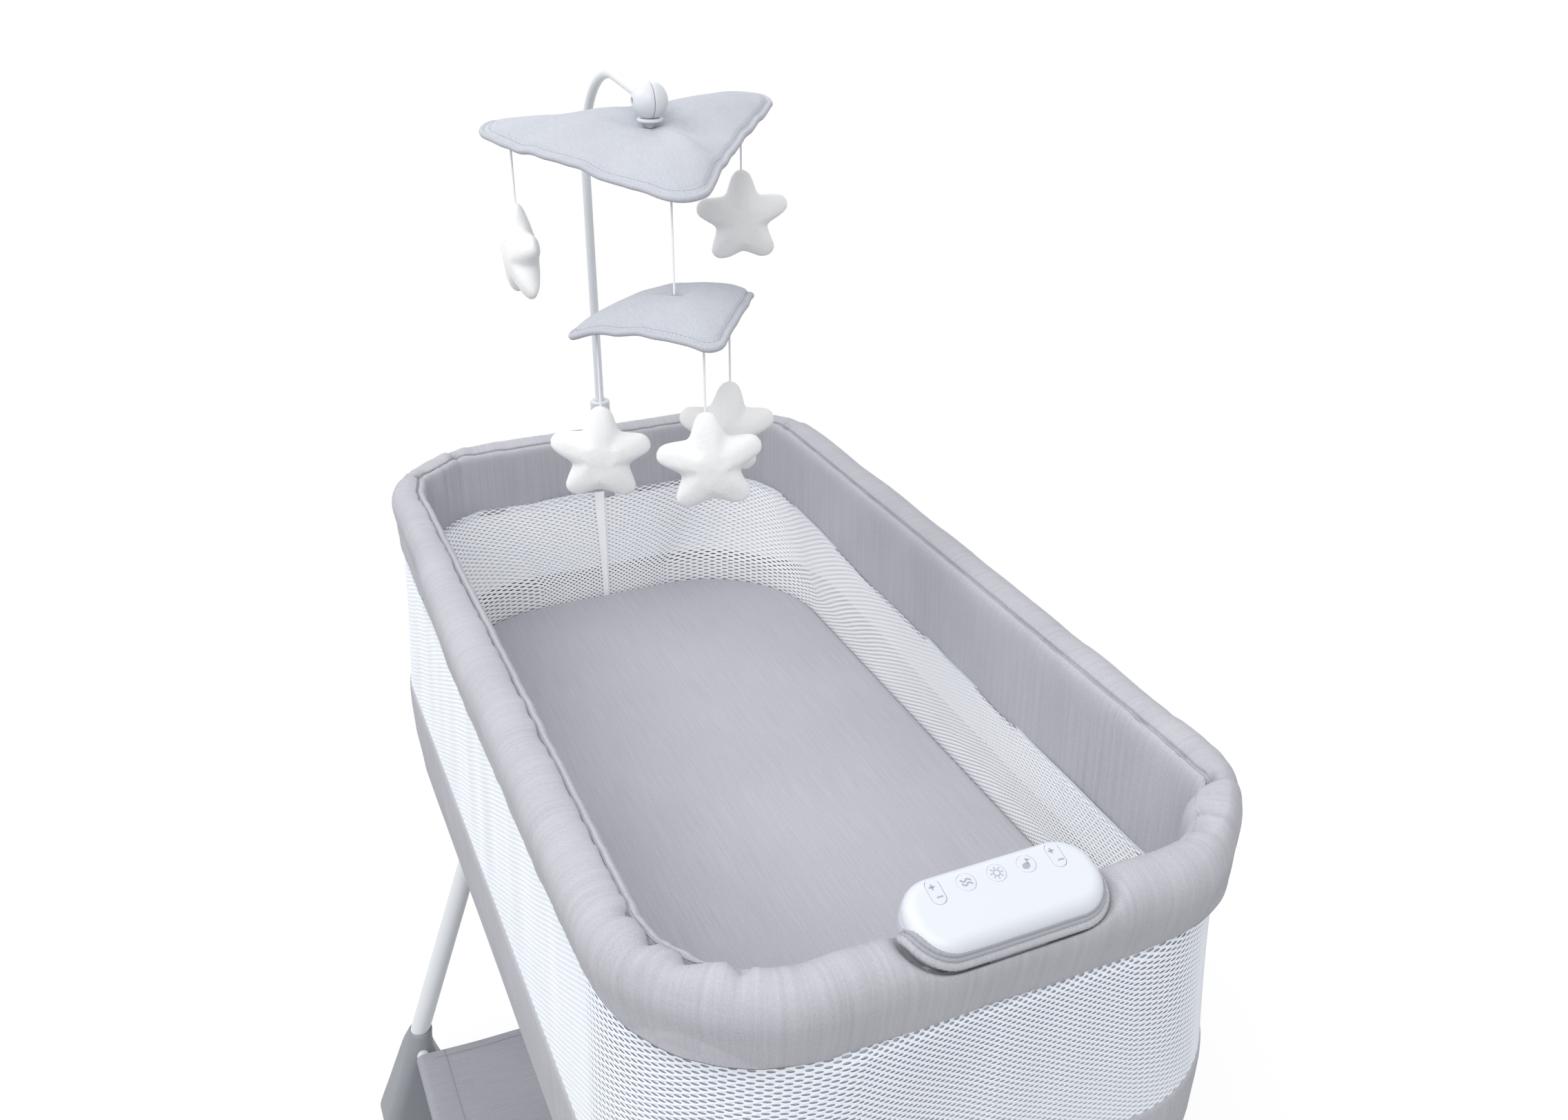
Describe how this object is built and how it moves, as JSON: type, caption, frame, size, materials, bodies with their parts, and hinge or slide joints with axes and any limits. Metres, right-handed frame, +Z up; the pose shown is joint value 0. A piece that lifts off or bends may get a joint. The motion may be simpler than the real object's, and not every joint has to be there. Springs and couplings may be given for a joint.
{
  "type": "bassinet on stand",
  "caption": "Padded rectangular bassinet with mesh sides on a splayed tube stand, with a cloth storage shelf, a tiered hanging star mobile and a push-button control pod clipped on the rim.",
  "frame": {"origin": "on the floor, under the middle of the basket", "axes": "+Z up, +Y towards the head end that carries the mobile, X across the basket; the control pod is on the -Y rim"},
  "size_m": [0.739, 0.96, 1.188],
  "materials": {
    "frame_paint": "satin",
    "leg_paint": "satin",
    "foot_plastic": "satin",
    "socket_plastic": "matt",
    "grey_fabric": "woven herringbone",
    "mesh_fabric": "open knitted mesh",
    "sheet_fabric": "soft heathered knit",
    "foam": "matt foam pad",
    "hardboard": "matt",
    "canopy_fabric": "soft twill",
    "plush": "short pile",
    "cord_textile": "braided",
    "white_plastic": "semi-gloss",
    "button_plastic": "soft satin",
    "steel": "satin",
    "circuit": "matt",
    "battery_wrap": "matt",
    "speaker_cone": "matt"
  },
  "bodies": {
    "cot": {"battery_pack": "battery_wrap", "circuit_board": "circuit", "cross_rail_foot": "frame_paint", "cross_rail_head": "frame_paint", "fitted_sheet": "sheet_fabric", "floor_panel": "grey_fabric", "inner_mesh": "mesh_fabric", "leg_housing_foot_left": "foot_plastic", "leg_housing_foot_right": "foot_plastic", "leg_housing_head_left": "foot_plastic", "leg_housing_head_right": "foot_plastic", "leg_socket_foot_left": "socket_plastic", "leg_socket_foot_right": "socket_plastic", "leg_socket_head_left": "socket_plastic", "leg_socket_head_right": "socket_plastic", "leg_tube_foot_left": "leg_paint", "leg_tube_foot_right": "leg_paint", "leg_tube_head_left": "leg_paint", "leg_tube_head_right": "leg_paint", "lower_band": "grey_fabric", "lower_tube_foot": "frame_paint", "lower_tube_head": "frame_paint", "mattress": "foam", "mattress_board": "hardboard", "mobile_socket": "white_plastic", "outer_mesh": "mesh_fabric", "pod_base": "white_plastic", "pod_cover": "white_plastic", "rim_cover": "grey_fabric", "rim_tube_foot": "frame_paint", "rim_tube_head": "frame_paint", "shelf_rail_left": "frame_paint", "shelf_rail_right": "frame_paint", "shelf_sling": "grey_fabric", "speaker": "speaker_cone", "upright_foot": "frame_paint", "upright_head": "frame_paint"},
    "arm": {"mobile_arm": "frame_paint", "hub_shell_left": "white_plastic", "hub_shell_right": "white_plastic", "hub_screw": "steel"},
    "spinner": {"spindle": "white_plastic", "upper_canopy": "canopy_fabric"},
    "tier_string": {"string_front": "cord_textile"},
    "lower_tier": {"lower_canopy": "canopy_fabric"},
    "hanging_star_left": {"string_left": "cord_textile", "star_left": "plush"},
    "hanging_star_right": {"string_right": "cord_textile", "star_right": "plush"},
    "hanging_star_lower_left": {"string_lower_left": "cord_textile", "star_lower_left": "plush"},
    "hanging_star_lower_front": {"string_lower_front": "cord_textile", "star_lower_front": "plush"},
    "hanging_star_lower_back": {"string_lower_back": "cord_textile", "star_lower_back": "plush"},
    "vibration_button_cap": {"vibration_button": "button_plastic"},
    "light_button_cap": {"light_button": "button_plastic"},
    "music_button_cap": {"music_button": "button_plastic"},
    "rocker_left_cap": {"rocker_left": "button_plastic"},
    "rocker_right_cap": {"rocker_right": "button_plastic"}
  },
  "joints": [
    {"name": "arm_lift_off", "type": "slide", "parent": "cot", "child": "arm", "axis": [0, 0, 1], "range_m": [0, 0.06]},
    {"name": "mobile_spin", "type": "hinge", "parent": "arm", "child": "spinner", "pos_m": [0.01, 0.219, 1.1467], "axis": [0, 0, 1], "continuous": true},
    {"name": "star_left_swing", "type": "hinge", "parent": "spinner", "child": "hanging_star_left", "pos_m": [-0.10518, 0.2855, 1.13207], "axis": [-0.866, 0.5, 0], "range_deg": [-15, 15]},
    {"name": "star_right_swing", "type": "hinge", "parent": "spinner", "child": "hanging_star_right", "pos_m": [0.12691, 0.2865, 1.14252], "axis": [0.866, 0.5, 0], "range_deg": [-15, 15]},
    {"name": "tier_swing", "type": "hinge", "parent": "spinner", "child": "tier_string", "pos_m": [-0.015, 0.097, 1.11415], "axis": [-0.2007, -0.9796, 0], "range_deg": [-10, 10]},
    {"name": "tier_spin", "type": "hinge", "parent": "tier_string", "child": "lower_tier", "pos_m": [-0.015, 0.097, 1.027], "axis": [0, 0, 1], "continuous": true},
    {"name": "star_lower_left_swing", "type": "hinge", "parent": "lower_tier", "child": "hanging_star_lower_left", "pos_m": [-0.07735, 0.133, 0.99385], "axis": [-0.866, 0.5, 0], "range_deg": [-15, 15]},
    {"name": "star_lower_front_swing", "type": "hinge", "parent": "lower_tier", "child": "hanging_star_lower_front", "pos_m": [-0.015, 0.027, 1.00913], "axis": [0, -1, 0], "range_deg": [-15, 15]},
    {"name": "star_lower_back_swing", "type": "hinge", "parent": "lower_tier", "child": "hanging_star_lower_back", "pos_m": [0.04619, 0.12172, 1.00875], "axis": [0.9272, 0.3746, 0], "range_deg": [-15, 15]},
    {"name": "vibration_button_press", "type": "slide", "parent": "cot", "child": "vibration_button_cap", "axis": [0, 0.2924, -0.9563], "range_m": [0, 0.001], "stiffness_N_per_m": 300, "springref_m": -0.001},
    {"name": "light_button_press", "type": "slide", "parent": "cot", "child": "light_button_cap", "axis": [0, 0.2924, -0.9563], "range_m": [0, 0.001], "stiffness_N_per_m": 300, "springref_m": -0.001},
    {"name": "music_button_press", "type": "slide", "parent": "cot", "child": "music_button_cap", "axis": [0, 0.2924, -0.9563], "range_m": [0, 0.001], "stiffness_N_per_m": 300, "springref_m": -0.001},
    {"name": "rocker_left_rock", "type": "hinge", "parent": "cot", "child": "rocker_left_cap", "pos_m": [-0.043, -0.4411, 0.78515], "axis": [1, 0, 0], "range_deg": [-3, 3], "stiffness_Nm_per_rad": 0.05},
    {"name": "rocker_right_rock", "type": "hinge", "parent": "cot", "child": "rocker_right_cap", "pos_m": [0.047, -0.4411, 0.78515], "axis": [1, 0, 0], "range_deg": [-3, 3], "stiffness_Nm_per_rad": 0.05}
  ]
}
